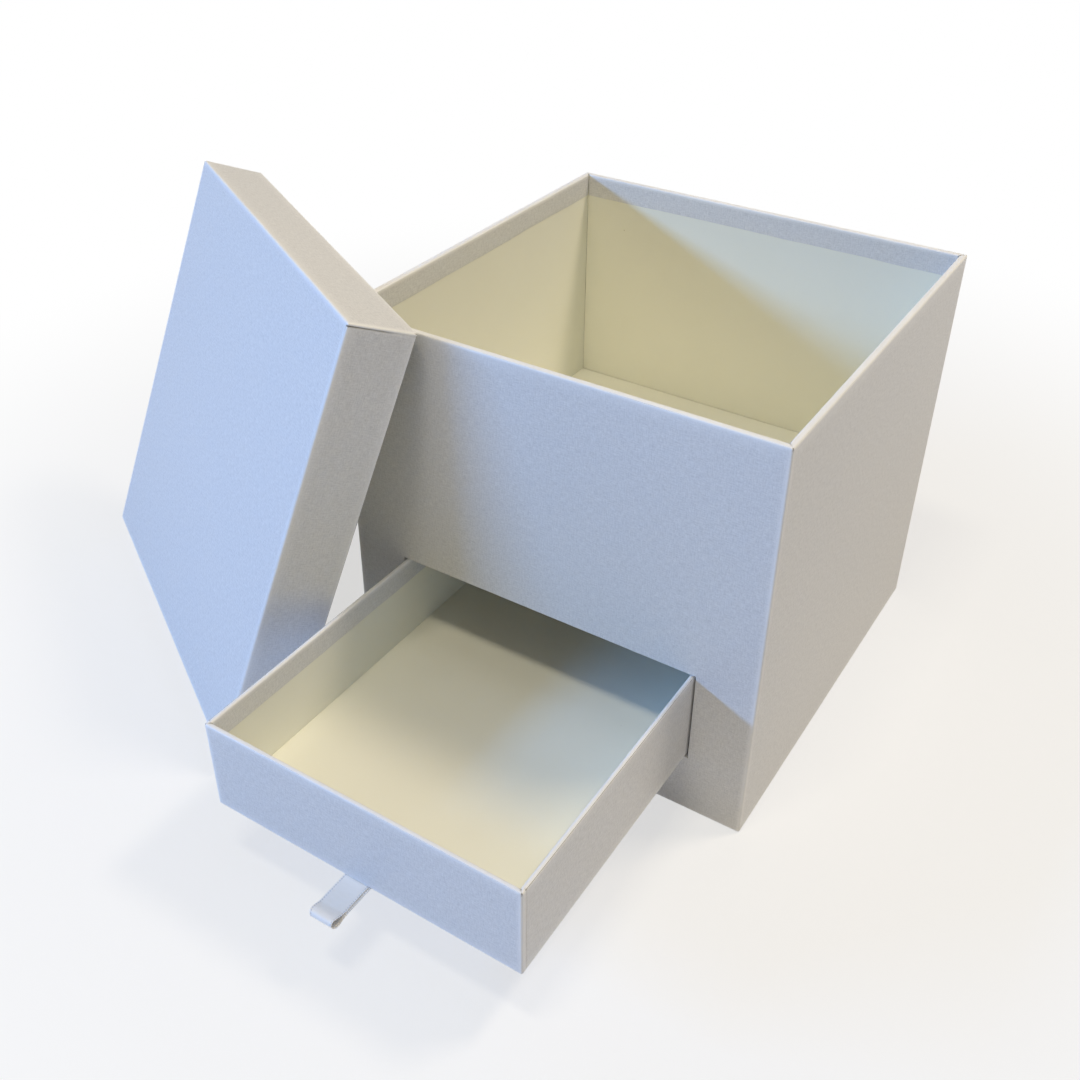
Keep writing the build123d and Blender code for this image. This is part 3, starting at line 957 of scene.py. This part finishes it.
def ribbon():
    """A satin ribbon doubled over a soft loop, its two ends glued under the drawer."""
    low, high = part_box("ribbon_pull")
    centre = (low + high) / 2
    half_width = (high.x - low.x) / 2
    path = ribbon_path(low, high)
    across = ribbon_columns(half_width)
    mesh = bmesh.new()
    uv = mesh.loops.layers.uv.new("UVMap")
    selvedge = mesh.verts.layers.float.new("selvedge")
    lengths = [0.0]
    for (y0, z0, _), (y1, z1, _) in zip(path, path[1:]):
        lengths.append(lengths[-1] + math.hypot(y1 - y0, z1 - z0))

    def vertex(x, y, z, turned, wave):
        """wave is 1 between two stitches and 0 on one."""
        edge = half_width - abs(x)
        reach = TIP_PINCH * max(1 - (y - low.y) / TIP_LENGTH, 0.0) ** 2 * abs(x) / half_width
        if edge < RIBBON_EDGE:
            reach += PICOT_REACH * wave
        stitch = (1 - smooth(*STITCH_SPREAD, abs(edge - STITCH_ROW))) * (1 - wave)
        free = smooth(0, FREE_CHANGE, low.y + FREE_REACH - y)
        creases = RIBBON_CREASE * ripple(Vector((x, y * 0.7, z)), RIBBON_WAVE, RIBBON_SEED)
        rise = free * min(creases, 0.0) - STITCH_DEPTH * stitch
        side = centre.x + x - math.copysign(reach, x) + LAYER_SHIFT * turned
        made = mesh.verts.new(Vector((side, y, centre.z + z + rise)))
        made[selvedge] = max(stitch, 0.5 * wave if edge < RIBBON_EDGE else 0.0)
        return made

    grid = []
    for (y, z, turned), length in zip(path, lengths):
        wave = 0.5 + 0.5 * math.cos(2 * math.pi * length / STITCH_PITCH)
        grid.append([vertex(x, y, z, turned, wave) for x in across])
    for i in range(len(path) - 1):
        for j in range(len(across) - 1):
            corners = (grid[i][j], grid[i + 1][j], grid[i + 1][j + 1], grid[i][j + 1])
            made = mesh.faces.new(corners)
            made.smooth = True
            for corner, row in zip(made.loops, (i, i + 1, i + 1, i)):
                corner[uv].uv = (corner.vert.co.x, lengths[row])
    piece = new_object("ribbon_pull_satin", mesh, SATIN)
    thicken(piece, RIBBON_THICKNESS, 0)
    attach(piece, "drawer")
    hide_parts("ribbon_pull")


ribbon()

# ---- Stage, light and camera ----

FLOOR_HALF = 6.0
FADE = (0.15, 0.6)
NEAR_WHITE = 0.62


def seen_ray(nodes, links):
    """1 for the rays of the camera, of gloss and of glass, 0 for the others."""
    path = nodes.new("ShaderNodeLightPath").outputs
    seen = add_math(nodes, links, "MAXIMUM", path["Is Camera Ray"], path["Is Glossy Ray"])
    return add_math(nodes, links, "MAXIMUM", seen, path["Is Transmission Ray"])


def mix_shaders(nodes, links, factor, first, second, surface):
    mix = nodes.new("ShaderNodeMixShader")
    links.new(factor, mix.inputs["Fac"])
    links.new(first, mix.inputs[1])
    links.new(second, mix.inputs[2])
    links.new(mix.outputs["Shader"], surface)


def make_floor():
    """A plain pale floor that fades to white in the distance, for the rays that seen_ray names."""
    mesh = bmesh.new()
    corners = [(-1, -1, 0), (1, -1, 0), (1, 1, 0), (-1, 1, 0)]
    mesh.faces.new([mesh.verts.new(Vector(c) * FLOOR_HALF) for c in corners])
    material, nodes, links, shader = new_material(
        "floor", Base_Color=(0.9, 0.9, 0.9, 1), Roughness=0.9, Specular_IOR_Level=0.1
    )
    floor = new_object("floor", mesh, material)
    white = nodes.new("ShaderNodeEmission")
    distance = nodes.new("ShaderNodeVectorMath")
    distance.operation = "LENGTH"
    links.new(coordinates(nodes, "Object"), distance.inputs[0])
    far = add_range(nodes, links, distance.outputs["Value"], FADE, (NEAR_WHITE, 1.0), "SMOOTHSTEP")
    factor = add_math(nodes, links, "MULTIPLY", far, seen_ray(nodes, links))
    surface = nodes["Material Output"].inputs["Surface"]
    mix_shaders(nodes, links, factor, shader.outputs["BSDF"], white.outputs["Emission"], surface)


def make_world(colour, strength):
    """Soft light from all round; the camera, gloss and glass see plain white instead."""
    world = bpy.data.worlds.new("studio")
    bpy.context.scene.world = world
    world.use_nodes = True
    nodes, links = world.node_tree.nodes, world.node_tree.links
    nodes.clear()
    soft = nodes.new("ShaderNodeBackground")
    soft.inputs["Color"].default_value = (*colour, 1)
    soft.inputs["Strength"].default_value = strength
    white = nodes.new("ShaderNodeBackground")
    white.inputs["Color"].default_value = (*WHITE, 1)
    backgrounds = (soft.outputs["Background"], white.outputs["Background"])
    surface = nodes.new("ShaderNodeOutputWorld").inputs["Surface"]
    mix_shaders(nodes, links, seen_ray(nodes, links), *backgrounds, surface)


def add_light(name, place, facing, size, colour, power):
    """A rectangular lamp, its long side level."""
    data = bpy.data.lights.new(name, "AREA")
    data.shape = "RECTANGLE"
    data.size, data.size_y = size
    data.color = colour
    data.energy = power
    lamp = bpy.data.objects.new(name, data)
    lamp.location = place
    lamp.rotation_mode = "QUATERNION"
    lamp.rotation_quaternion = (-Vector(facing)).to_track_quat("Z", "Y")
    bpy.context.scene.collection.objects.link(lamp)


OBJECT_MIDDLE = Vector((0, 0, 0.1))
CEILING = 1.5


def add_ceiling_light(name, towards, size, colour, power):
    """A lamp overhead that looks at the object. towards leads from the object to the lamp."""
    direction = Vector(towards).normalized()
    add_light(name, OBJECT_MIDDLE + direction * CEILING, -direction, size, colour, power)


make_floor()
make_world(colour=(1.0, 0.90, 0.76), strength=0.155)
add_light(
    "window", place=(-1.2, -1.265, 0.66), facing=(1, 0, 0), size=(0.93, 0.17),
    colour=(0.186, 0.457, 1.0), power=27.5,
)
add_ceiling_light(
    "ceiling_back", towards=(0.45, 0.3, 1), size=(0.3, 0.2), colour=(1.0, 0.87, 0.69), power=9.3
)
add_ceiling_light(
    "ceiling_front", towards=(0, -0.36, 1), size=(0.3, 0.15), colour=(1.0, 0.92, 0.74), power=5.3
)

PHOTO = 1080
FOCAL_PIXELS = 1226.24
CENTRE_PIXELS = (538.67, 495.46)
SENSOR_WIDTH = 36.0
CAMERA_PLACE = (0.215782, -0.443392, 0.406757)
CAMERA_AZIMUTH = math.radians(32.3373)
CAMERA_ELEVATION = math.radians(33.7664)
CAMERA_ROLL = math.radians(0.482)


def make_camera():
    data = bpy.data.cameras.new("camera")
    data.sensor_width = SENSOR_WIDTH
    data.lens = SENSOR_WIDTH * FOCAL_PIXELS / PHOTO
    data.shift_x = (PHOTO / 2 - CENTRE_PIXELS[0]) / PHOTO
    data.shift_y = (CENTRE_PIXELS[1] - PHOTO / 2) / PHOTO
    data.clip_start, data.clip_end = 0.01, 50
    camera = bpy.data.objects.new("camera", data)
    camera.location = CAMERA_PLACE
    level = math.cos(CAMERA_ELEVATION)
    back = Vector((
        math.sin(CAMERA_AZIMUTH) * level, -math.cos(CAMERA_AZIMUTH) * level,
        math.sin(CAMERA_ELEVATION),
    ))
    turn = back.to_track_quat("Z", "Y").to_matrix()
    camera.rotation_mode = "QUATERNION"
    camera.rotation_quaternion = (turn @ Matrix.Rotation(CAMERA_ROLL, 3, "Z")).to_quaternion()
    bpy.context.scene.collection.objects.link(camera)
    bpy.context.scene.camera = camera


make_camera()
bpy.context.scene.view_settings.view_transform = "Standard"
